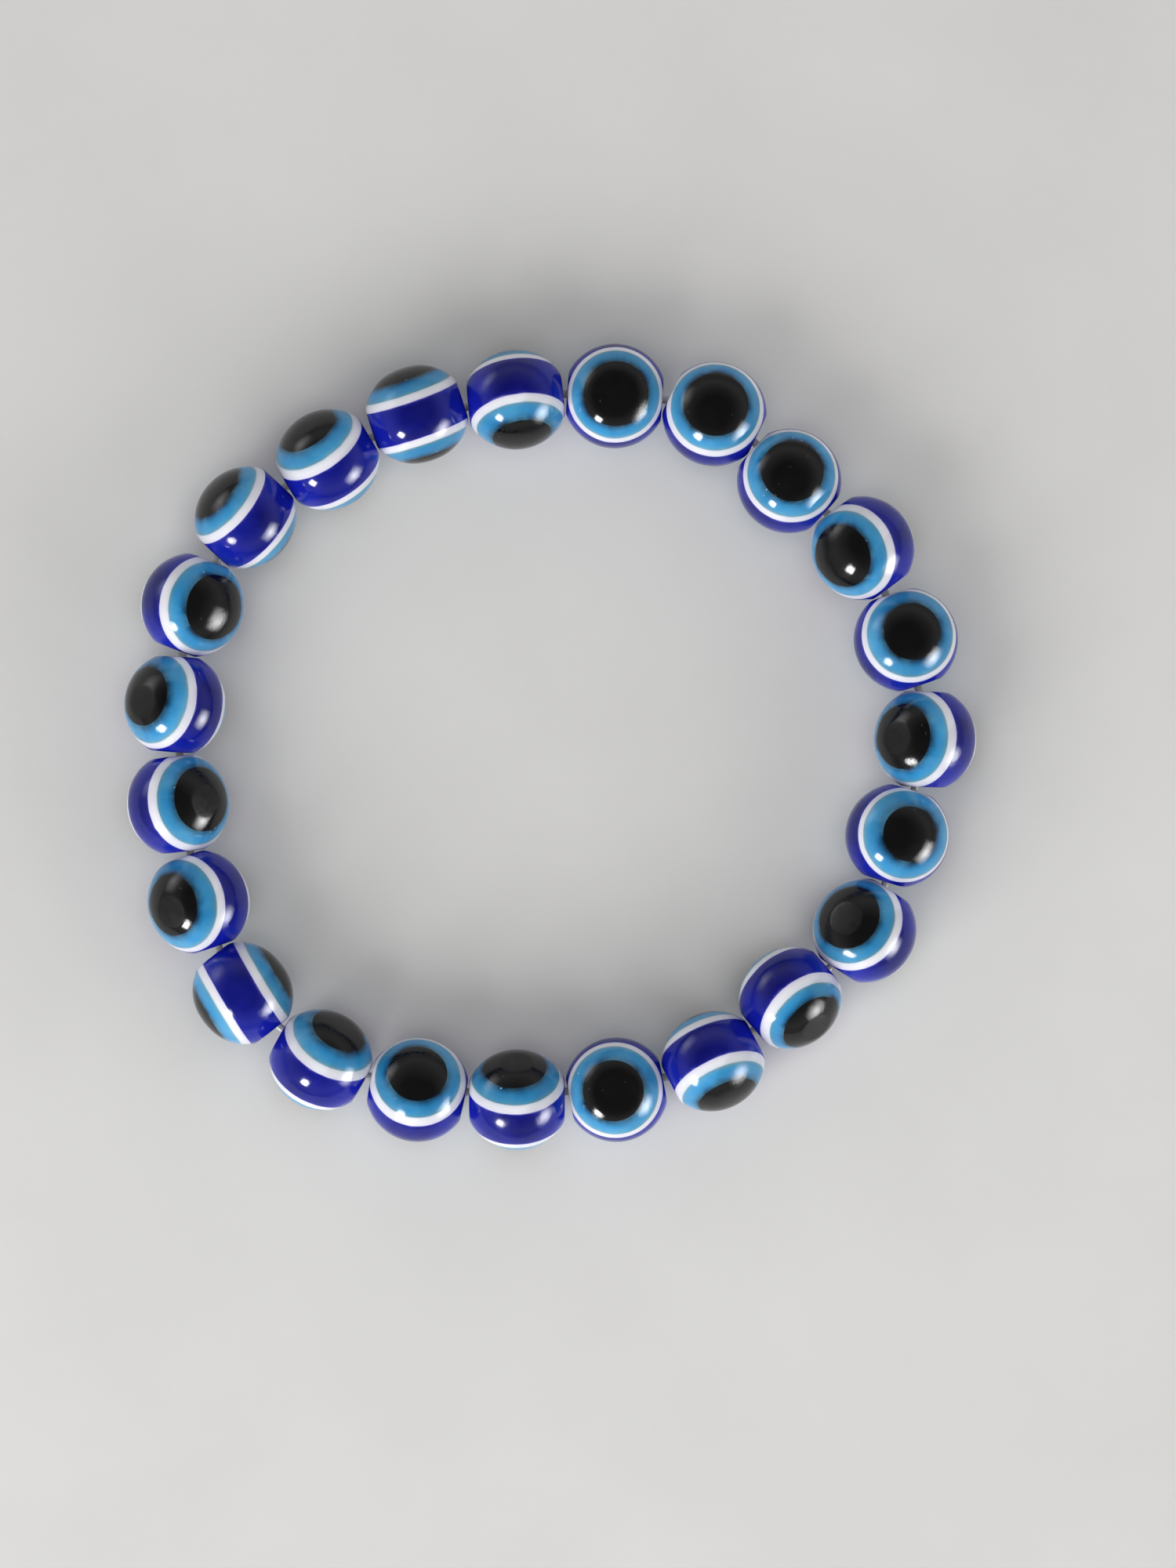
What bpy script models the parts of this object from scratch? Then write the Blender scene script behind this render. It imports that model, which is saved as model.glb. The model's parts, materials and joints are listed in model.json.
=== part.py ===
"""Evil-eye bead stretch bracelet, laid down flat in a loose loop.

Resin beads are threaded on one elastic cord, whose ends are tied in a knot that hides in the first
bead's hole. Units are metres and +Z is up. The origin is on the surface that the bracelet lies on,
under the middle of the loop. Every bead turns about its own hole, which lies along the cord.
"""

import math

import bpy
import numpy as np
from mathutils import Matrix, Vector

MM = 0.001

# A bead is a ball pressed a little flat from eye to eye. It is ground off square at both ends of
# its hole, and a little in the middle of both eyes.
BEAD_R = 4.0 * MM
BEAD_EYE_R = 3.75 * MM
BEAD_HALF_LENGTH = 3.65 * MM
BEAD_HALF_EYES = 3.6 * MM
HOLE_R = 1.0 * MM
BEAD_ARC_STEPS = 8
BEAD_TURN_STEPS = 20
BEAD_SHARP_ANGLE = math.radians(25)
BEAD_GAP = 0.05 * MM

# The elastic cord is thinner than the hole, so a bead can sit this far to one side of it.
CORD_R = 0.3 * MM
HOLE_PLAY = 0.6 * MM
KNOT_R = 0.75 * MM
KNOT_HALF_LENGTH = 1.1 * MM
KNOT_PLAY = 0.1 * MM
KNOT_GAP = 0.3 * MM
KNOT_SEGMENTS = 12
KNOT_RINGS = 8

# The beads in order, clockwise from the top of the loop as seen from above. Each has its place on
# the surface in mm, and how far its upper eye leans out of the loop in degrees.
LAID_BEADS = (
    (5.25, 26.75, 0),
    (12.5, 25.25, 10),
    (18.25, 20.25, 10),
    (23.75, 15.0, -35),
    (27.0, 8.25, 10),
    (28.5, 0.75, -40),
    (26.5, -6.75, 15),
    (24.0, -14.0, -30),
    (18.25, -19.25, 55),
    (12.5, -24.0, 65),
    (5.0, -26.25, 0),
    (-2.5, -27.0, -55),
    (-10.25, -26.25, -25),
    (-17.5, -24.0, -60),
    (-23.5, -19.0, -90),
    (-27.0, -11.75, 35),
    (-28.5, -4.5, -40),
    (-28.75, 3.25, 40),
    (-27.5, 10.75, -35),
    (-23.5, 17.5, 65),
    (-17.0, 22.0, 55),
    (-10.0, 25.5, 80),
    (-2.75, 26.5, -65),
)
SETTLE_ROUNDS = 300
SETTLE_SHARE = 0.25
SPLIT_ANGLES = np.radians(np.arange(-30, 31))
TAUT_ROUNDS = 300

RESIN_BLUE = (0.012, 0.010, 0.230, 1.0)
RESIN_ROUGHNESS = 0.06
CORD_CLEAR = (0.800, 0.800, 0.780, 1.0)
CORD_ROUGHNESS = 0.25
KNOT_CLEAR = (0.700, 0.690, 0.640, 1.0)
KNOT_ROUGHNESS = 0.35


def clear_scene():
    """Remove every object that the file opened with."""
    for obj in list(bpy.data.objects):
        bpy.data.objects.remove(obj)


def new_collection(name):
    """Add an empty collection to the scene."""
    collection = bpy.data.collections.new(name)
    bpy.context.scene.collection.children.link(collection)
    return collection


def principled(name, colour, roughness):
    """Make a plain non-metallic material."""
    material = bpy.data.materials.new(name)
    material.use_nodes = True
    shader = material.node_tree.nodes["Principled BSDF"]
    shader.inputs["Base Color"].default_value = colour
    shader.inputs["Roughness"].default_value = roughness
    shader.inputs["Metallic"].default_value = 0.0
    return material


def add_object(name, data, collection):
    """Link a new object with this data."""
    obj = bpy.data.objects.new(name, data)
    collection.objects.link(obj)
    return obj


def applied_mesh(obj, name):
    """Take an object's mesh with its modifiers applied."""
    depsgraph = bpy.context.evaluated_depsgraph_get()
    mesh = bpy.data.meshes.new_from_object(obj.evaluated_get(depsgraph), depsgraph=depsgraph)
    mesh.name = name
    return mesh


def end_reach(tilt):
    """How far a bead reaches in a direction at this angle to its hole."""
    flat_edge = math.acos(BEAD_HALF_LENGTH / BEAD_R)
    return BEAD_R * np.cos(np.maximum(0.0, flat_edge - np.abs(tilt)))


def lying_height(lean):
    """How high a bead's centre is above what it lies on, with its eyes leaning this far."""
    turns = np.radians(np.arange(0, 91))
    heights = np.minimum(BEAD_EYE_R * np.cos(turns), BEAD_HALF_EYES)
    widths = BEAD_R * np.sin(turns)
    return float(np.max(heights * math.cos(lean) + widths * math.sin(abs(lean))))


def unit(vectors):
    """Scale each row to length one."""
    return vectors / np.linalg.norm(vectors, axis=1, keepdims=True)


def heading(vectors):
    """The direction of each row, as an angle."""
    return np.arctan2(vectors[:, 1], vectors[:, 0])


def wrapped(angles):
    """Bring angles into the half turn either side of zero."""
    return (angles + math.pi) % (2 * math.pi) - math.pi


def hole_directions(places):
    """Each bead's hole points along the line between its two neighbours."""
    return unit(np.roll(places, -1, axis=0) - np.roll(places, 1, axis=0))


def touching_spacing(leaving, arriving):
    """Centre distance of two beads that touch, from their holes' angles to the line of centres."""
    spacings = []
    for split in SPLIT_ANGLES:
        both = end_reach(leaving - split) + end_reach(arriving - split)
        spacings.append(both / math.cos(split))
    return np.min(spacings, axis=0)


def settled_places():
    """Slide the laid beads along the loop until every two neighbours all but touch."""
    places = np.array([bead[:2] for bead in LAID_BEADS]) * MM
    for _ in range(SETTLE_ROUNDS):
        holes = heading(hole_directions(places))
        steps = np.roll(places, -1, axis=0) - places
        lines = heading(steps)
        leaving = wrapped(holes - lines)
        arriving = wrapped(np.roll(holes, -1) - lines)
        wanted = touching_spacing(leaving, arriving) + BEAD_GAP
        slack = unit(steps) * (np.linalg.norm(steps, axis=1) - wanted)[:, None]
        places += SETTLE_SHARE * (slack - np.roll(slack, 1, axis=0))
    return places - (places.max(axis=0) + places.min(axis=0)) / 2


def bead_poses():
    """Each bead's centre, its hole's direction, and the directions out of the loop and of its eye."""
    places = settled_places()
    poses = []
    for place, hole, (_, _, lean) in zip(places, hole_directions(places), LAID_BEADS):
        lean = math.radians(lean)
        centre = Vector((*place, lying_height(lean)))
        along = Vector((*hole, 0.0))
        outward = Vector((-hole[1], hole[0], 0.0))
        eye = Vector((0.0, 0.0, math.cos(lean))) + outward * math.sin(lean)
        poses.append((centre, along, outward, eye))
    return poses


def bead_profile():
    """Half of the ball's section: from the middle of one flat, down its outside, to the other's."""
    edge = math.acos(BEAD_HALF_LENGTH / BEAD_R)
    points = [(0.0, 0.0, BEAD_HALF_LENGTH)]
    for step in range(BEAD_ARC_STEPS + 1):
        angle = edge + (math.pi - 2 * edge) * step / BEAD_ARC_STEPS
        points.append((BEAD_R * math.sin(angle), 0.0, BEAD_R * math.cos(angle)))
    points.append((0.0, 0.0, -BEAD_HALF_LENGTH))
    return points


def turned_ball(collection):
    """Turn the ball with its two flat ends about the local Z axis, which becomes its hole's."""
    points = bead_profile()
    outline = bpy.data.meshes.new("bead_outline")
    outline.from_pydata(points, [(i, i + 1) for i in range(len(points) - 1)], [])
    ball = add_object("bead_blank", outline, collection)
    turn = ball.modifiers.new("turn", "SCREW")
    turn.axis = "Z"
    turn.steps = BEAD_TURN_STEPS
    turn.render_steps = BEAD_TURN_STEPS
    turn.use_merge_vertices = True
    turn.merge_threshold = 0.01 * MM
    ball.data = applied_mesh(ball, "bead_blank")
    ball.modifiers.clear()
    return ball


def cut(obj, operation, tool):
    """Add a Boolean modifier that works on the object with this tool."""
    boolean = obj.modifiers.new(tool.name, "BOOLEAN")
    boolean.operation = operation
    boolean.solver = "EXACT"
    boolean.object = tool


def bead_mesh(collection):
    """Press the ball along its local X axis, grind both eyes flat there, and drill the hole."""
    ball = turned_ball(collection)
    ball.data.transform(Matrix.Diagonal((BEAD_EYE_R / BEAD_R, 1.0, 1.0, 1.0)))

    bpy.ops.mesh.primitive_cube_add(size=2.0)
    slab = bpy.context.active_object
    slab.name = "eye_slab"
    slab.data.transform(Matrix.Diagonal((BEAD_HALF_EYES, 2 * BEAD_R, 2 * BEAD_R, 1.0)))
    cut(ball, "INTERSECT", slab)

    bpy.ops.mesh.primitive_cylinder_add(vertices=BEAD_TURN_STEPS, radius=HOLE_R, depth=4 * BEAD_R)
    drill = bpy.context.active_object
    drill.name = "hole_drill"
    cut(ball, "DIFFERENCE", drill)

    mesh = applied_mesh(ball, "bead")
    mesh.shade_smooth()
    mesh.set_sharp_from_angle(angle=BEAD_SHARP_ANGLE)
    mesh.materials.clear()
    mesh.materials.append(principled("blue_resin", RESIN_BLUE, RESIN_ROUGHNESS))
    for leftover in (ball, slab, drill):
        bpy.data.objects.remove(leftover)
    return mesh


def add_beads(poses, collection):
    """Place the beads, each with its origin on the axis that it turns about."""
    mesh = bead_mesh(collection)
    for number, (centre, along, _, eye) in enumerate(poses, start=1):
        bead = add_object(f"bead_{number:02d}", mesh, collection)
        bead.location = centre
        bead.rotation_euler = Matrix((eye, along.cross(eye), along)).transposed().to_euler()


def cord_route(poses):
    """The cord is pulled tight: straight through each bead, and bent only between two mouths.

    It passes each mouth as near to a straight line as the hole's width lets it, except in the
    first bead, where the knot keeps it in the middle.
    """
    mouths = []
    for number, (centre, along, outward, _) in enumerate(poses, start=1):
        play = KNOT_PLAY if number == 1 else HOLE_PLAY
        for end in (-1, 1):
            middle = centre + along * end * (BEAD_HALF_LENGTH + BEAD_GAP / 2)
            mouths.append((middle, outward, play))
    route = [middle.copy() for middle, _, _ in mouths]
    for _ in range(TAUT_ROUNDS):
        for index, (middle, outward, play) in enumerate(mouths):
            before = route[index - 1]
            line = route[(index + 1) % len(route)] - before
            share = (middle - before).dot(line) / line.length_squared
            offset = (before + line * share - middle).dot(outward)
            route[index] = middle + outward * min(max(offset, -play), play)
    knot = (route[0] + route[1]) / 2
    half = (route[1] - route[0]).normalized() * (KNOT_HALF_LENGTH + KNOT_GAP)
    return [knot + half] + route[1:] + route[:1] + [knot - half]


def add_cord(route, collection):
    """The elastic cord, a round tube from one side of the knot, through every bead, to the other."""
    curve = bpy.data.curves.new("elastic_cord", "CURVE")
    curve.dimensions = "3D"
    curve.bevel_depth = CORD_R
    curve.bevel_resolution = 2
    curve.use_fill_caps = True
    curve.render_resolution_u = 0
    spline = curve.splines.new("POLY")
    spline.points.add(len(route) - 1)
    for point, place in zip(spline.points, route):
        point.co = (*place, 1.0)
    curve.materials.append(principled("clear_elastic", CORD_CLEAR, CORD_ROUGHNESS))
    add_object("elastic_cord", curve, collection)


def add_knot(route, collection):
    """The tied and glued ends of the cord, a lump inside the first bead's hole."""
    bpy.ops.mesh.primitive_uv_sphere_add(
        segments=KNOT_SEGMENTS, ring_count=KNOT_RINGS, radius=1.0
    )
    knot = bpy.context.active_object
    knot.name = "cord_knot"
    knot.data.name = "cord_knot"
    knot.data.transform(Matrix.Diagonal((KNOT_R, KNOT_R, KNOT_HALF_LENGTH, 1.0)))
    knot.data.shade_smooth()
    knot.data.materials.append(principled("glued_elastic", KNOT_CLEAR, KNOT_ROUGHNESS))
    knot.location = (route[0] + route[-1]) / 2
    knot.rotation_euler = (route[0] - route[-1]).to_track_quat("Z", "Y").to_euler()
    for other in list(knot.users_collection):
        other.objects.unlink(knot)
    collection.objects.link(knot)


def main():
    clear_scene()
    collection = new_collection("evil_eye_bead_bracelet")
    poses = bead_poses()
    add_beads(poses, collection)
    route = cord_route(poses)
    add_cord(route, collection)
    add_knot(route, collection)


main()
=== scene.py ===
"""Looks of the evil-eye bead stretch bracelet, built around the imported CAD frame.

Each CAD bead is replaced by a polished resin bead cut from bonded sheets: royal blue in the middle,
then white, light blue and black on both faces, so that both of its poles are eyes. The sheets' edges
are real edges of the mesh. The cord and its knot are replaced by finer ones. Lengths are in metres.
"""

import json
import math
import random

import bpy
import numpy as np
from mathutils import Matrix, Vector


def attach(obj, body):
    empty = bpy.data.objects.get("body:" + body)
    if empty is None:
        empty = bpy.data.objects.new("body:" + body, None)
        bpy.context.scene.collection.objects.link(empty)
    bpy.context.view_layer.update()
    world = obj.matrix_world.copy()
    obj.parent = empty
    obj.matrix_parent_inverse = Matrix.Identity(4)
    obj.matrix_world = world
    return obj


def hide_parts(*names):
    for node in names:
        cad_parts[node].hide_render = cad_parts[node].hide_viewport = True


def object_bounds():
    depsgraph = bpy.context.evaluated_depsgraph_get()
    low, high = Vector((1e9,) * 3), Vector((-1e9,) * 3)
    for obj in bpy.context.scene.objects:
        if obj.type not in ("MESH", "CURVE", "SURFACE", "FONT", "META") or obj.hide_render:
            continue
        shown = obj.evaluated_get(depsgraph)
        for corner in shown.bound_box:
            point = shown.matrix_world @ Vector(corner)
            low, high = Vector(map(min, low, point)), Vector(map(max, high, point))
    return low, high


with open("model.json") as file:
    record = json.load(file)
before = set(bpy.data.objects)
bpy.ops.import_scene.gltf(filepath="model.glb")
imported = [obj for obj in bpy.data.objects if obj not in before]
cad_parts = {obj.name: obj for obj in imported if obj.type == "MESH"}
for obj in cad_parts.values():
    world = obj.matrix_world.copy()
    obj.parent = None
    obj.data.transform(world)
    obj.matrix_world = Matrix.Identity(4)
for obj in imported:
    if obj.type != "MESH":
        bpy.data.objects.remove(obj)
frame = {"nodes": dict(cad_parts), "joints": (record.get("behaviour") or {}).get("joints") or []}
cad_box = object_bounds()

MM = 0.001

# A bead: a ball pressed a little flat from eye to eye, ground at its hole's ends and on both eyes.
# The higher a crispness is, the sharper is the edge where the ball meets a ground face.
BEAD_R = 4.0 * MM
BEAD_EYE_R = 3.75 * MM
BEAD_HALF_LENGTH = 3.65 * MM
END_CRISPNESS = 120
EYE_CRISPNESS = 150
BEAD_GAP = 0.05 * MM

# Its hole, which runs along the bead's own X axis.
HOLE_R = 1.0 * MM
HOLE_MOUTH_R = 1.18 * MM
HOLE_CHAMFER = 0.15 * MM
HOLE_SIDES = 48

# Its sheets, from the middle outwards, and how they wave: the wave's height, and its length along and
# across the hole divided by two pi.
ROYAL, WHITE, SKY, PUPIL = range(4)
SHEET_WAVE = 0.03 * MM
WAVE_ALONG = 1.6 * MM
WAVE_ACROSS = 2.1 * MM

# Its mesh: columns round the eyes, rows of faces across each sheet, and the black one's further rows
# on its cap and in a narrow band over the cap's rim.
BEAD_COLUMNS = 144
SHEET_ROWS = (20, 6, 10, 8)
CAP_ROWS = 8
RIM_ROWS = 5
RIM_BAND = math.radians(2.0)
SHARP_ANGLE = math.radians(35)

# How high a bead's eyes reach, and the radius of their middles: ground off flat, left round, or
# rounded but as low as a flat, for a bead that lies on its eye.
GROUND = (3.60 * MM, 20.0 * MM)
ROUND = (3.70 * MM, 6.0 * MM)
LOW = (3.60 * MM, 6.5 * MM)

# A ground flat's duller finish fades out over this width, and lies nowhere lower than this.
FLAT_FADE = 0.12 * MM
FLAT_LOWEST = 3.3 * MM

# How each bead was cut from the bonded sheets, in the order of the beads: the sheets' tilt along the
# hole and their roll about it in degrees, how far from the bead's middle the blue, the white and the
# light blue end in mm, and its eyes.
CUTS = (
    (1, -0.5, 1.55, 2.05, 2.95, LOW),
    (-4, 0, 1.40, 2.00, 2.95, ROUND),
    (-5, 0.5, 1.55, 2.05, 3.00, ROUND),
    (-7, 0.5, 1.45, 2.10, 3.00, ROUND),
    (-7, -1, 1.55, 2.10, 3.15, ROUND),
    (-2, 3, 1.30, 1.95, 2.95, GROUND),
    (-6, -1.5, 1.60, 2.05, 3.20, ROUND),
    (-3, -3, 1.40, 2.05, 2.95, GROUND),
    (0, -2.5, 1.50, 2.20, 2.95, GROUND),
    (4, -2, 1.45, 2.12, 3.05, ROUND),
    (3, -2, 1.55, 2.05, 3.05, LOW),
    (2, 0, 1.45, 2.07, 3.00, GROUND),
    (3, -1.5, 1.50, 2.20, 3.10, ROUND),
    (-2, 2.5, 1.45, 2.12, 3.15, ROUND),
    (-7, -1, 1.40, 2.05, 3.00, ROUND),
    (6, 0, 1.40, 2.00, 3.05, GROUND),
    (3, 0, 1.30, 2.00, 2.95, GROUND),
    (7, 1.5, 1.40, 2.00, 3.10, GROUND),
    (7, -1, 1.25, 1.95, 2.95, ROUND),
    (-2, -0.5, 1.50, 2.10, 3.05, ROUND),
    (-2, 1, 1.40, 2.10, 3.05, ROUND),
    (-2, 0, 1.40, 2.00, 3.00, ROUND),
    (3, 0.5, 1.55, 2.12, 3.10, ROUND),
)

# How a CAD bead's eye is told from its other flats. Faces this close to the hole's axis, or that lean
# this much towards it, don't count. Faces whose normals agree this well are one flat.
NEAR_HOLE = BEAD_R / 2
LEAN = 0.1
ONE_FLAT = 0.9999
UPWARD = Vector((0.01, 0.0, 1.0))

# The elastic cord, and how far off a hole's axis it can lie.
CORD_R = 0.3 * MM
HOLE_PLAY = 0.6 * MM
TAUT_ROUNDS = 300
TUBE_RESOLUTION = 6

# The knot in the first bead, and how much of its half length the cord's ends cover.
KNOT_R = 0.75 * MM
KNOT_HALF_LENGTH = 1.1 * MM
KNOT_PLAY = 0.1 * MM
KNOT_STRAND_R = 0.17 * MM
KNOT_MARGIN = 0.1 * MM
KNOT_STEPS = 96
CORD_END = 0.7

# The polished resin. Patterns are in lumps per metre, and each bead's lie this far from the last one's.
RESIN_IOR = 1.56
RESIN_SPECULAR = 0.32
BUMP_STRENGTH = 0.07
BUMP_DISTANCE = 0.08 * MM
SCRATCH_STRETCH = (1.0, 9.0, 1.0)
SCRATCHES = 2600.0
GRIT = 4200.0
DULL_PATCHES = 420.0
WAVES = 330.0
SCUFFS = 260.0
RAGGED_EDGES = 900.0
CLOUDS = 380.0
BRIGHT_PATCHES = 140.0
TEAL_PATCHES = 170.0
# Bubbles in the light blue: pale dots, partly real bubbles and partly painted glints on them.
BUBBLE_GLINTS = 1500.0
GLINTING_BUBBLE_GROUPS = 700.0
SPECKS = 2400.0
GROUND_MARKS = 1300.0
BEAD_SHIFT = 0.1

# The elastic and the studio paper.
ELASTIC_IOR = 1.5
ELASTIC_TRANSMISSION = 0.2
ELASTIC_MILK = 900.0
DRAW_LINES = 5000.0
PAPER_MOTTLE = 60.0
PAPER_ROUGHNESS = 0.9

# The places of a Mix node's factor and colours among its sockets.
MIX_INPUTS = (0, 6, 7)
MIX_RESULT = 2

# The camera looks straight down, a little right of and below the middle of the loop.
CAMERA_DISTANCE = 450 * MM
CAMERA_OFFSET = Vector((2.9, -2.85, 0.0)) * MM
VIEW_HEIGHT = 119.8 * MM
SENSOR = 36.0
CLIP_START = 0.01

# The floor, and the surroundings' strength at the horizon, where they are brightest and overhead. The
# two heights are the sines of the angle above the horizon.
FLOOR_HALF = 3.0
HORIZON_STRENGTH = 0.30
BRIGHTEST_STRENGTH = 0.56
OVERHEAD_STRENGTH = 0.08
BRIGHTEST_HEIGHT = 0.35
OVERHEAD_HEIGHT = 0.85

# The softboxes: name, direction from the middle of the loop, distance, width and height in metres,
# power in watts, the share of the size that is evenly bright, and whether it is only a gleam.
KEY = (-0.52, -0.72, 0.47)
FILL = (0.83, -0.49, 0.28)
BACK = (-0.83, 0.54, 0.24)
ABOVE = (0.0, 0.0, 1.0)
SOFTBOXES = (
    ("key_gleam", KEY, 0.60, 0.17, 0.17, 5.0, 0.5, True),
    ("fill_gleam", FILL, 0.60, 0.46, 0.38, 13.0, 0.1, True),
    ("back_gleam", BACK, 0.70, 0.60, 0.40, 2.4, 0.0, True),
    ("key_soft", KEY, 0.60, 0.50, 0.50, 5.0, 0.5, False),
    ("fill_soft", FILL, 0.60, 0.60, 0.50, 4.0, 0.5, False),
    ("overhead", ABOVE, 0.90, 1.00, 1.00, 4.2, 0.5, False),
)


def linear(red, green, blue):
    """A colour given as 0 to 255 on a screen, as the linear RGBA that a shader takes."""
    channels = [value / 255 for value in (red, green, blue)]
    return tuple(c / 12.92 if c < 0.04 else ((c + 0.055) / 1.055) ** 2.4 for c in channels) + (1.0,)


# ---------------------------------------------------------------- materials


def add_node(tree, kind, inputs=None, **settings):
    """Add a shader node, set its properties, and set or link its inputs."""
    node = tree.nodes.new(kind)
    for name, value in settings.items():
        setattr(node, name, value)
    for key, value in (inputs or {}).items():
        if isinstance(value, bpy.types.NodeSocket):
            tree.links.new(value, node.inputs[key])
        else:
            node.inputs[key].default_value = value
    return node


def new_material(name):
    """A material with a Principled shader. Returns it, its node tree and the shader."""
    material = bpy.data.materials.new(name)
    material.use_nodes = True
    tree = material.node_tree
    return material, tree, tree.nodes["Principled BSDF"]


def ramp(tree, factor, stops):
    """A colour ramp through (position, colour) stops."""
    node = add_node(tree, "ShaderNodeValToRGB", {"Fac": factor})
    elements = node.color_ramp.elements
    while len(elements) < len(stops):
        elements.new(1.0)
    for element, (position, colour) in zip(elements, stops):
        element.position = position
        element.color = linear(*colour)
    return node.outputs["Color"]


def maths(tree, operation, first, second=0.0, clamp=False):
    """One arithmetic node."""
    inputs = {0: first, 1: second}
    return add_node(tree, "ShaderNodeMath", inputs, operation=operation, use_clamp=clamp).outputs[0]


def scaled(tree, value, low, high, to_low, to_high):
    """Map a value from one range to another, held at the ends."""
    inputs = {"Value": value, "From Min": low, "From Max": high, "To Min": to_low, "To Max": to_high}
    return add_node(tree, "ShaderNodeMapRange", inputs).outputs["Result"]


def mixed(tree, factor, first, second, blend_type="MIX"):
    """Mix two colours."""
    inputs = dict(zip(MIX_INPUTS, (factor, first, second)))
    node = add_node(tree, "ShaderNodeMix", inputs, data_type="RGBA", blend_type=blend_type)
    return node.outputs[MIX_RESULT]


def noise(tree, place, scale, detail=2.0, distortion=0.0):
    """Smooth noise, 0 to 1, with its scale in lumps per metre."""
    inputs = {"Vector": place, "Scale": scale, "Detail": detail, "Distortion": distortion}
    return add_node(tree, "ShaderNodeTexNoise", inputs).outputs["Fac"]


def stored(tree, name, output="Fac"):
    """A value stored at the vertices of a bead's mesh."""
    return add_node(tree, "ShaderNodeAttribute", attribute_name=name).outputs[output]


def bead_place(tree):
    """A point's place in its own bead, and that place moved so that no two beads' patterns match."""
    place = stored(tree, "bead_place", "Vector")
    shift = add_node(tree, "ShaderNodeCombineXYZ", {"X": stored(tree, "bead_shift"), "Y": 0.0, "Z": 0.0})
    inputs = {0: place, 1: shift.outputs[0]}
    moved = add_node(tree, "ShaderNodeVectorMath", inputs, operation="ADD").outputs[0]
    return place, moved


def polish(tree, shader, place, smooth, scuffed):
    """Gloss of tumbled resin: scratches, soft waviness, and some duller and some scuffed patches."""
    stretch = add_node(tree, "ShaderNodeMapping", {"Vector": place, "Scale": SCRATCH_STRETCH})
    scratches = noise(tree, stretch.outputs[0], SCRATCHES, 3.0)
    patches = scaled(tree, noise(tree, place, DULL_PATCHES), 0.55, 0.75, 0.25, 1.0)
    dull = maths(tree, "MULTIPLY", patches, scratches)
    tree.links.new(scaled(tree, dull, 0.15, 0.6, smooth, scuffed), shader.inputs["Roughness"])
    waves = noise(tree, place, WAVES, 1.0)
    scuffs = scaled(tree, noise(tree, place, SCUFFS), 0.50, 0.62, 0.3, 3.5)
    grit = noise(tree, place, GRIT, 3.0)
    fine = maths(tree, "MULTIPLY", maths(tree, "ADD", scratches, grit), scuffs)
    height = maths(tree, "ADD", fine, waves)
    inputs = {"Height": height, "Strength": BUMP_STRENGTH, "Distance": BUMP_DISTANCE}
    bump = add_node(tree, "ShaderNodeBump", inputs)
    tree.links.new(bump.outputs["Normal"], shader.inputs["Normal"])
    shader.inputs["IOR"].default_value = RESIN_IOR
    shader.inputs["Specular IOR Level"].default_value = RESIN_SPECULAR


def resin(name, sheet, stops, cloud, cloud_strength, smooth=0.08, scuffed=0.24):
    """A sheet of cast resin. Its colour runs from its inner to its outer edge, with soft clouds.

    Returns the material, its node tree and shader, its colour, which isn't linked to the shader yet,
    and a point's place and moved place.
    """
    material, tree, shader = new_material(name)
    place, moved = bead_place(tree)
    ragged = scaled(tree, noise(tree, moved, RAGGED_EDGES, 4.0), 0.2, 0.8, -0.08, 0.08)
    depth = maths(tree, "ADD", stored(tree, "sheet_depth"), ragged)
    within = maths(tree, "SUBTRACT", depth, float(sheet), clamp=True)
    clouds = scaled(tree, noise(tree, moved, CLOUDS, 4.0, 0.6), 0.42, 0.72, 0.0, cloud_strength)
    colour = mixed(tree, clouds, ramp(tree, within, stops), linear(*cloud))
    polish(tree, shader, moved, smooth, scuffed)
    return material, tree, shader, colour, place, moved


def royal_resin():
    """The blue middle sheet. It looks brighter near the hole's ends, where light gets in."""
    stops = ((0.0, (12, 15, 106)), (0.80, (13, 16, 112)), (0.95, (28, 30, 136)), (1.0, (104, 104, 192)))
    cloud = (34, 36, 146)
    material, tree, shader, colour, place, moved = resin("royal_resin", ROYAL, stops, cloud, 0.5)
    bright = scaled(tree, noise(tree, moved, BRIGHT_PATCHES), 0.48, 0.66, 0.0, 0.55)
    colour = mixed(tree, bright, colour, linear(22, 32, 152))
    along = add_node(tree, "ShaderNodeSeparateXYZ", {"Vector": place}).outputs["X"]
    ends = scaled(tree, maths(tree, "ABSOLUTE", along), 1.2 * MM, 3.5 * MM, 0.0, 0.8)
    colour = mixed(tree, ends, colour, linear(20, 34, 178))
    tree.links.new(colour, shader.inputs["Base Color"])
    return material


def white_resin():
    """The white sheet, tinged by the blue ones on both sides of it."""
    stops = (
        (0.0, (196, 194, 236)),
        (0.10, (236, 235, 249)),
        (0.5, (245, 244, 251)),
        (0.85, (234, 240, 247)),
        (1.0, (196, 208, 222)),
    )
    material, tree, shader, colour, _, _ = resin("white_resin", WHITE, stops, (228, 226, 243), 0.5)
    tree.links.new(colour, shader.inputs["Base Color"])
    return material


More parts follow.
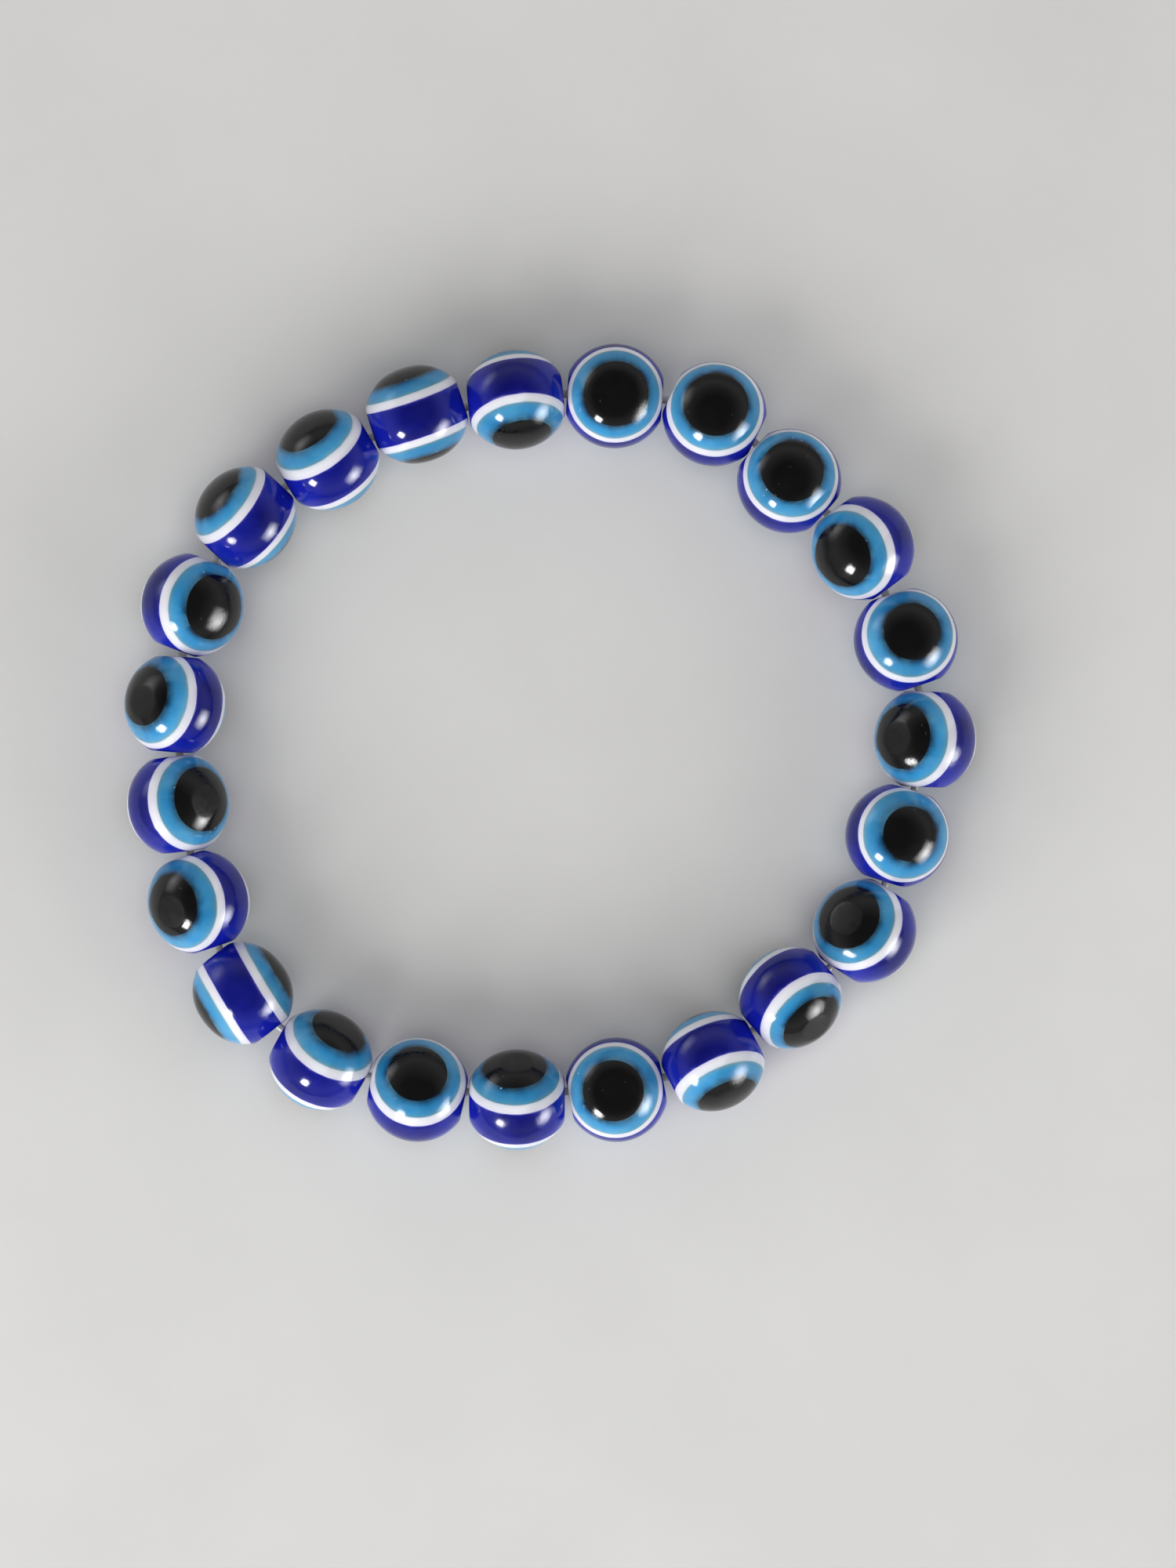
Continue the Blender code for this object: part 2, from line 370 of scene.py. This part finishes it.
def sky_resin():
    """The light blue sheet: milky where it thins out over the white, deep next to the black."""
    stops = (
        (0.0, (146, 176, 188)),
        (0.08, (102, 164, 194)),
        (0.26, (70, 160, 214)),
        (0.60, (52, 146, 204)),
        (0.78, (40, 118, 170)),
        (0.92, (26, 70, 104)),
        (1.0, (12, 28, 42)),
    )
    material, tree, shader, colour, _, moved = resin("sky_resin", SKY, stops, (104, 180, 220), 0.55)
    teal = scaled(tree, noise(tree, moved, TEAL_PATCHES), 0.42, 0.60, 0.0, 0.6)
    colour = mixed(tree, teal, colour, linear(184, 212, 218), "MULTIPLY")
    # A few small bubbles, painted pale: partly the bubbles themselves, partly painted glints on them.
    bubble_glints = add_node(tree, "ShaderNodeTexVoronoi", {"Vector": moved, "Scale": BUBBLE_GLINTS})
    near = scaled(tree, bubble_glints.outputs["Distance"], 0.06, 0.14, 1.0, 0.0)
    few = scaled(tree, noise(tree, moved, GLINTING_BUBBLE_GROUPS), 0.60, 0.66, 0.0, 1.0)
    colour = mixed(tree, maths(tree, "MULTIPLY", near, few), colour, linear(176, 214, 236))
    tree.links.new(colour, shader.inputs["Base Color"])
    return material


def pupil_resin():
    """The black cap. Its ground flat is duller than the tumbled rest."""
    stops = ((0.0, (10, 18, 26)), (0.10, (11, 11, 12)), (1.0, (11, 11, 11)))
    material, tree, shader, colour, _, moved = resin("pupil_resin", PUPIL, stops, (22, 20, 19), 0.6)
    specks = scaled(tree, noise(tree, moved, SPECKS, 1.0), 0.76, 0.80, 0.0, 0.35)
    colour = mixed(tree, specks, colour, linear(92, 88, 84))
    tree.links.new(colour, shader.inputs["Base Color"])
    polished = shader.inputs["Roughness"].links[0].from_socket
    flat = stored(tree, "ground_flat")
    ground = scaled(tree, noise(tree, moved, GROUND_MARKS, 4.0), 0.3, 0.7, 0.24, 0.42)
    kept = maths(tree, "MULTIPLY", polished, maths(tree, "SUBTRACT", 1.0, flat))
    roughness = maths(tree, "ADD", kept, maths(tree, "MULTIPLY", ground, flat))
    tree.links.new(roughness, shader.inputs["Roughness"])
    return material


def elastic_material(name, low, high, roughness):
    """Clear stretch cord: slightly milky, with faint draw lines."""
    material, tree, shader = new_material(name)
    place = add_node(tree, "ShaderNodeTexCoord").outputs["Object"]
    colour = ramp(tree, noise(tree, place, ELASTIC_MILK, 3.0), ((0.3, low), (0.7, high)))
    tree.links.new(colour, shader.inputs["Base Color"])
    lines = scaled(tree, noise(tree, place, DRAW_LINES), 0.3, 0.7, roughness * 0.7, roughness * 1.3)
    tree.links.new(lines, shader.inputs["Roughness"])
    shader.inputs["IOR"].default_value = ELASTIC_IOR
    shader.inputs["Transmission Weight"].default_value = ELASTIC_TRANSMISSION
    return material


def floor_material():
    """Plain pale studio paper with a barely visible mottle."""
    material, tree, shader = new_material("studio_paper")
    place = add_node(tree, "ShaderNodeTexCoord").outputs["Object"]
    stops = ((0.3, (221, 220, 218)), (0.7, (226, 225, 223)))
    tree.links.new(ramp(tree, noise(tree, place, PAPER_MOTTLE, 5.0), stops), shader.inputs["Base Color"])
    shader.inputs["Roughness"].default_value = PAPER_ROUGHNESS
    return material


# ---------------------------------------------------------------- beads


def link(name, data):
    """Add an object with this data to the scene."""
    obj = bpy.data.objects.new(name, data)
    bpy.context.scene.collection.objects.link(obj)
    return obj


def applied(obj, name):
    """The object's mesh with its modifiers applied."""
    depsgraph = bpy.context.evaluated_depsgraph_get()
    mesh = bpy.data.meshes.new_from_object(obj.evaluated_get(depsgraph), depsgraph=depsgraph)
    mesh.name = name
    return mesh


def softer_min(first, second, crispness):
    """The smaller of two distances, rounded over where they meet."""
    return (first ** -crispness + second ** -crispness) ** (-1 / crispness)


def rim_radius(eyes):
    """How far from the eye's middle its cap meets the ball."""
    height, dome = eyes
    return math.sqrt(2 * (BEAD_EYE_R - height) / (BEAD_EYE_R / BEAD_R**2 - 1 / dome))


def bead_surface(directions, eyes):
    """Where the bead's skin is in these directions from its middle: X is its hole, Z its eyes."""
    x, y, z = np.abs(directions)
    tiny = 1e-9
    ball = 1 / np.sqrt((x**2 + y**2) / BEAD_R**2 + z**2 / BEAD_EYE_R**2)
    reach = softer_min(ball / MM, BEAD_HALF_LENGTH / MM / (x + tiny), END_CRISPNESS)
    height, dome = eyes
    low = dome - height
    cap = np.sqrt(dome**2 - low**2 * (1 - z**2)) - low * z
    reach = softer_min(reach, cap / MM, EYE_CRISPNESS)
    return directions * reach * MM


def skin(polar, around, eyes):
    """Points of the skin at these angles from the eye axis and round it."""
    flat = np.sin(polar)
    return bead_surface(np.stack((flat * np.cos(around), flat * np.sin(around), np.cos(polar))), eyes)


def sheet_height(points, lie, phases):
    """Each point's height over the bead's middle sheet, which lies askew and waves a little."""
    x, y, z = points
    tilt, roll = lie
    wave = np.sin(x / WAVE_ALONG + phases[0]) * np.cos(y / WAVE_ACROSS + phases[1])
    rolled = z * math.cos(roll) + y * math.sin(roll)
    return x * math.sin(tilt) + rolled * math.cos(tilt) + SHEET_WAVE * wave


def polar_of_height(wanted, around, lie, phases, eyes):
    """The angle from the eye axis at which the skin is this high over the middle sheet."""
    halvings = 30
    low, high = np.zeros_like(around), np.full_like(around, math.pi)
    for _ in range(halvings):
        middle = (low + high) / 2
        above = sheet_height(skin(middle, around, eyes), lie, phases) > wanted
        low, high = np.where(above, middle, low), np.where(above, high, middle)
    return (low + high) / 2


def bead_rows(edges, lie, phases, eyes, around):
    """Rows of polar angles from pole to pole, with a row along every sheet's edge.

    Returns the rows, and for each band between two rows the number of the sheet it lies in.
    """
    first, last = np.zeros_like(around), np.full_like(around, math.pi)
    rim = math.atan2(rim_radius(eyes), eyes[0])
    stops = [(first, CAP_ROWS, PUPIL), (first + rim - RIM_BAND, RIM_ROWS, PUPIL)]
    stops.append((first + rim + RIM_BAND, SHEET_ROWS[PUPIL], PUPIL))
    blue, white, sky = edges
    starts = ((sky, SKY), (white, WHITE), (blue, ROYAL), (-blue, WHITE), (-white, SKY), (-sky, PUPIL))
    for height, sheet in starts:
        stops.append((polar_of_height(height, around, lie, phases, eyes), SHEET_ROWS[sheet], sheet))
    stops += [(last - rim - RIM_BAND, RIM_ROWS, PUPIL), (last - rim + RIM_BAND, CAP_ROWS, PUPIL)]
    stops.append((last, 0, PUPIL))
    rows, sheets = [], []
    for (start, bands, sheet), (end, _, _) in zip(stops, stops[1:]):
        for step in range(bands):
            rows.append(start + (end - start) * step / bands)
            sheets.append(sheet)
    return rows[1:], sheets


def bead_skin(name, edges, lie, phases, eyes, materials):
    """The bead's closed skin before the hole is drilled."""
    around = np.linspace(0, 2 * math.pi, BEAD_COLUMNS, endpoint=False)
    rows, sheets = bead_rows(edges, lie, phases, eyes, around)
    points = [(0.0, 0.0, skin(0.0, 0.0, eyes)[2])]
    for row in rows:
        points.extend(skin(row, around, eyes).T.tolist())
    points.append((0.0, 0.0, -points[0][2]))
    faces, numbers = [], []
    last_row = 1 + (len(rows) - 1) * BEAD_COLUMNS
    for column in range(BEAD_COLUMNS):
        right = (column + 1) % BEAD_COLUMNS
        faces.append((0, 1 + column, 1 + right))
        numbers.append(sheets[0])
        for band in range(len(rows) - 1):
            upper = 1 + band * BEAD_COLUMNS
            lower = upper + BEAD_COLUMNS
            faces.append((upper + column, lower + column, lower + right, upper + right))
            numbers.append(sheets[band + 1])
        faces.append((len(points) - 1, last_row + right, last_row + column))
        numbers.append(sheets[-1])
    mesh = bpy.data.meshes.new(name)
    mesh.from_pydata(points, [], faces)
    for material in materials:
        mesh.materials.append(material)
    mesh.polygons.foreach_set("material_index", numbers)
    return mesh


def drill_mesh():
    """The cutter for the hole: a rod along X that widens at both mouths."""
    outline = [
        (-2 * BEAD_R, HOLE_MOUTH_R),
        (-BEAD_HALF_LENGTH, HOLE_MOUTH_R),
        (-BEAD_HALF_LENGTH + HOLE_CHAMFER, HOLE_R),
        (BEAD_HALF_LENGTH - HOLE_CHAMFER, HOLE_R),
        (BEAD_HALF_LENGTH, HOLE_MOUTH_R),
        (2 * BEAD_R, HOLE_MOUTH_R),
    ]
    points = []
    for x, radius in outline:
        for side in range(HOLE_SIDES):
            angle = 2 * math.pi * side / HOLE_SIDES
            points.append((x, radius * math.cos(angle), radius * math.sin(angle)))
    faces = [tuple(reversed(range(HOLE_SIDES)))]
    for ring in range(len(outline) - 1):
        for side in range(HOLE_SIDES):
            here = ring * HOLE_SIDES + side
            after = ring * HOLE_SIDES + (side + 1) % HOLE_SIDES
            faces.append((here, after, after + HOLE_SIDES, here + HOLE_SIDES))
    faces.append(tuple(range(len(points) - HOLE_SIDES, len(points))))
    mesh = bpy.data.meshes.new("hole_drill")
    mesh.from_pydata(points, [], faces)
    return mesh


def store(mesh, name, values):
    """Store a number or a place for each vertex, for the materials to read."""
    kind, key = ("FLOAT", "value") if values.ndim == 1 else ("FLOAT_VECTOR", "vector")
    attribute = mesh.attributes.new(name, kind, "POINT")
    attribute.data.foreach_set(key, values.astype(np.float32).ravel())


def bead_mesh(number, materials, drill):
    """One drilled bead about its own middle, with what the materials read stored at its vertices."""
    tilt, roll, *limits, eyes = CUTS[number - 1]
    lie = math.radians(tilt), math.radians(roll)
    edges = [limit * MM for limit in limits]
    luck = random.Random(number)
    phases = [luck.uniform(0, 2 * math.pi) for _ in range(2)]
    name = f"evil_eye_bead_{number:02d}"
    blank = link(name, bead_skin(name, edges, lie, phases, eyes, materials))
    hole = blank.modifiers.new("hole", "BOOLEAN")
    hole.operation = "DIFFERENCE"
    hole.solver = "EXACT"
    hole.object = drill
    mesh = applied(blank, name)
    bpy.data.objects.remove(blank)
    mesh.shade_smooth()
    mesh.set_sharp_from_angle(angle=SHARP_ANGLE)
    points = np.empty(len(mesh.vertices) * 3)
    mesh.vertices.foreach_get("co", points)
    points = points.reshape(-1, 3).T
    depth = np.abs(sheet_height(points, lie, phases))
    marks = [0.0, *edges, BEAD_EYE_R]
    off_axis = np.hypot(points[0], points[1])
    flat = np.clip((rim_radius(eyes) - off_axis) / FLAT_FADE + 0.5, 0, 1)
    flat *= (np.abs(points[2]) > FLAT_LOWEST) * (eyes == GROUND)
    store(mesh, "sheet_depth", np.interp(depth, marks, range(len(marks))))
    store(mesh, "ground_flat", flat)
    store(mesh, "bead_shift", np.full(len(mesh.vertices), number * BEAD_SHIFT))
    store(mesh, "bead_place", points.T)
    return mesh


def eye_axis(node, centre, hole):
    """The direction of a CAD bead's upper eye: the way its widest flat faces, the hole's ends apart."""
    faces = frame["nodes"][node].data.polygons
    normals = np.array([face.normal for face in faces])
    areas = np.array([face.area for face in faces])
    places = np.array([face.center for face in faces]) - np.array(centre)
    off_hole = np.linalg.norm(np.cross(places, np.array(hole)), axis=1)
    areas[off_hole < NEAR_HOLE] = 0.0
    areas[np.abs(normals @ np.array(hole)) > LEAN] = 0.0
    widths = (normals @ normals.T > ONE_FLAT) @ areas
    eye = Vector(normals[widths.argmax()])
    if eye.dot(UPWARD) < 0:
        eye = -eye
    return (eye - hole * eye.dot(hole)).normalized()


def add_beads():
    """Put a resin bead in the place of every CAD bead, turned as that one is."""
    materials = [royal_resin(), white_resin(), sky_resin(), pupil_resin()]
    drill = link("hole_drill", drill_mesh())
    for number, joint in enumerate(frame["joints"], start=1):
        node = joint["child"]
        hole = Vector(joint["axis"]).normalized()
        eye = eye_axis(node, joint["pos_m"], hole)
        mesh = bead_mesh(number, materials, drill)
        turn = Matrix((hole, eye.cross(hole), eye)).transposed().to_4x4()
        mesh.transform(Matrix.Translation(joint["pos_m"]) @ turn)
        bead = link(f"evil_eye_bead_{number:02d}", mesh)
        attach(bead, node)
        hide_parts(node)
    bpy.data.objects.remove(drill)


# ---------------------------------------------------------------- cord


def cord_route():
    """The taut cord's bends, one at each mouth of each hole, from one side of the knot to the other."""
    mouths = []
    for number, joint in enumerate(frame["joints"], start=1):
        centre, along = Vector(joint["pos_m"]), Vector(joint["axis"])
        outward = Vector((-along.y, along.x, 0.0))
        play = KNOT_PLAY if number == 1 else HOLE_PLAY
        for end in (-1, 1):
            mouths.append((centre + along * end * (BEAD_HALF_LENGTH + BEAD_GAP / 2), outward, play))
    route = [middle.copy() for middle, _, _ in mouths]
    for _ in range(TAUT_ROUNDS):
        for index, (middle, outward, play) in enumerate(mouths):
            before = route[index - 1]
            line = route[(index + 1) % len(route)] - before
            share = (middle - before).dot(line) / line.length_squared
            offset = (before + line * share - middle).dot(outward)
            route[index] = middle + outward * min(max(offset, -play), play)
    return route


def tube(name, points, radius, cyclic, material):
    """A round tube straight from point to point."""
    curve = bpy.data.curves.new(name, "CURVE")
    curve.dimensions = "3D"
    curve.bevel_depth = radius
    curve.bevel_resolution = TUBE_RESOLUTION
    curve.use_fill_caps = True
    spline = curve.splines.new("POLY")
    spline.points.add(len(points) - 1)
    spline.use_cyclic_u = cyclic
    for point, place in zip(spline.points, points):
        point.co = (*place, 1.0)
    curve.materials.append(material)
    return link(name, curve)


def add_cord():
    """The elastic cord, which runs into its knot from both sides. Returns the knot's middle and way."""
    route = cord_route()
    knot = (route[0] + route[1]) / 2
    half = (route[1] - route[0]).normalized() * KNOT_HALF_LENGTH * CORD_END
    points = [knot + half] + route[1:] + route[:1] + [knot - half]
    material = elastic_material("clear_elastic", (214, 215, 212), (232, 232, 228), 0.25)
    cord = tube("stretch_cord", points, CORD_R, False, material)
    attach(cord, "cord")
    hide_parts("elastic_cord")
    return knot, half.normalized()


def add_knot(middle, along):
    """The knot pulled tight in the first bead's hole: one strand wound round in three lobes."""
    wide = (KNOT_R - KNOT_STRAND_R) / 3
    long = KNOT_HALF_LENGTH - KNOT_STRAND_R - KNOT_MARGIN
    points = []
    for step in range(KNOT_STEPS):
        t = 2 * math.pi * step / KNOT_STEPS
        x = math.sin(t) + 2 * math.sin(2 * t)
        y = math.cos(t) - 2 * math.cos(2 * t)
        points.append(Vector((x * wide, y * wide, -math.sin(3 * t) * long)))
    material = elastic_material("glued_elastic", (188, 186, 176), (214, 211, 200), 0.35)
    knot = tube("knot", points, KNOT_STRAND_R, True, material)
    turn = along.to_track_quat("Z", "Y").to_matrix().to_4x4()
    knot.matrix_world = Matrix.Translation(middle) @ turn
    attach(knot, "cord")
    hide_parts("cord_knot")


# ---------------------------------------------------------------- studio


def add_camera():
    """A camera straight above, which frames the loop as a picture 3 wide and 4 high."""
    low, high = cad_box
    middle = (low + high) / 2
    data = bpy.data.cameras.new("camera")
    data.sensor_width = SENSOR
    data.lens = SENSOR * CAMERA_DISTANCE / VIEW_HEIGHT
    data.clip_start = CLIP_START
    camera = link("camera", data)
    camera.location = middle + CAMERA_OFFSET + Vector((0.0, 0.0, CAMERA_DISTANCE))
    bpy.context.scene.camera = camera


def add_softbox(name, direction, distance, width, height, power, even, gleam):
    """A rectangular light that faces the middle of the loop from this direction.

    It is even over this share of its size and fades from there to its edges. One that is a gleam only
    shows as a highlight in the polish, and any other only lights what it falls on.
    """
    data = bpy.data.lights.new(name, "AREA")
    data.shape = "RECTANGLE"
    data.size = width
    data.size_y = height
    data.energy = power
    data.use_nodes = True
    tree = data.node_tree
    place = add_node(tree, "ShaderNodeNewGeometry").outputs["Parametric"]
    across = add_node(tree, "ShaderNodeSeparateXYZ", {"Vector": place})
    fades = []
    for axis in ("X", "Y"):
        off_middle = maths(tree, "ABSOLUTE", maths(tree, "SUBTRACT", across.outputs[axis], 0.5))
        fades.append(scaled(tree, off_middle, even / 2, 0.5, 1.0, 0.0))
    strength = maths(tree, "MULTIPLY", *fades)
    tree.links.new(strength, tree.nodes["Emission"].inputs["Strength"])
    light = link(name, data)
    towards = Vector(direction).normalized()
    light.location = towards * distance
    light.rotation_euler = towards.to_track_quat("Z", "Y").to_euler()
    light.visible_camera = False
    light.visible_diffuse = not gleam
    light.visible_glossy = gleam


def add_floor():
    """The pale floor that the bracelet lies on."""
    half = FLOOR_HALF
    corners = [(-half, -half, 0), (half, -half, 0), (half, half, 0), (-half, half, 0)]
    floor = bpy.data.meshes.new("studio_floor")
    floor.from_pydata(corners, [], [(0, 1, 2, 3)])
    floor.materials.append(floor_material())
    link("studio_floor", floor)


def add_surroundings():
    """Soft white surroundings, brightest a little above the horizon and dim overhead."""
    world = bpy.data.worlds.new("studio")
    world.use_nodes = True
    tree = world.node_tree
    place = add_node(tree, "ShaderNodeTexCoord").outputs["Generated"]
    height = add_node(tree, "ShaderNodeSeparateXYZ", {"Vector": place}).outputs["Z"]
    rise = scaled(tree, height, 0.0, BRIGHTEST_HEIGHT, HORIZON_STRENGTH, BRIGHTEST_STRENGTH)
    loss = BRIGHTEST_STRENGTH - OVERHEAD_STRENGTH
    fall = scaled(tree, height, BRIGHTEST_HEIGHT, OVERHEAD_HEIGHT, 0.0, loss)
    background = tree.nodes["Background"]
    tree.links.new(maths(tree, "SUBTRACT", rise, fall), background.inputs["Strength"])
    background.inputs["Color"].default_value = (1.0, 1.0, 1.0, 1.0)
    bpy.context.scene.world = world


bpy.context.scene.view_settings.view_transform = "Standard"
add_camera()
add_beads()
add_knot(*add_cord())
add_floor()
add_surroundings()
for softbox in SOFTBOXES:
    add_softbox(*softbox)
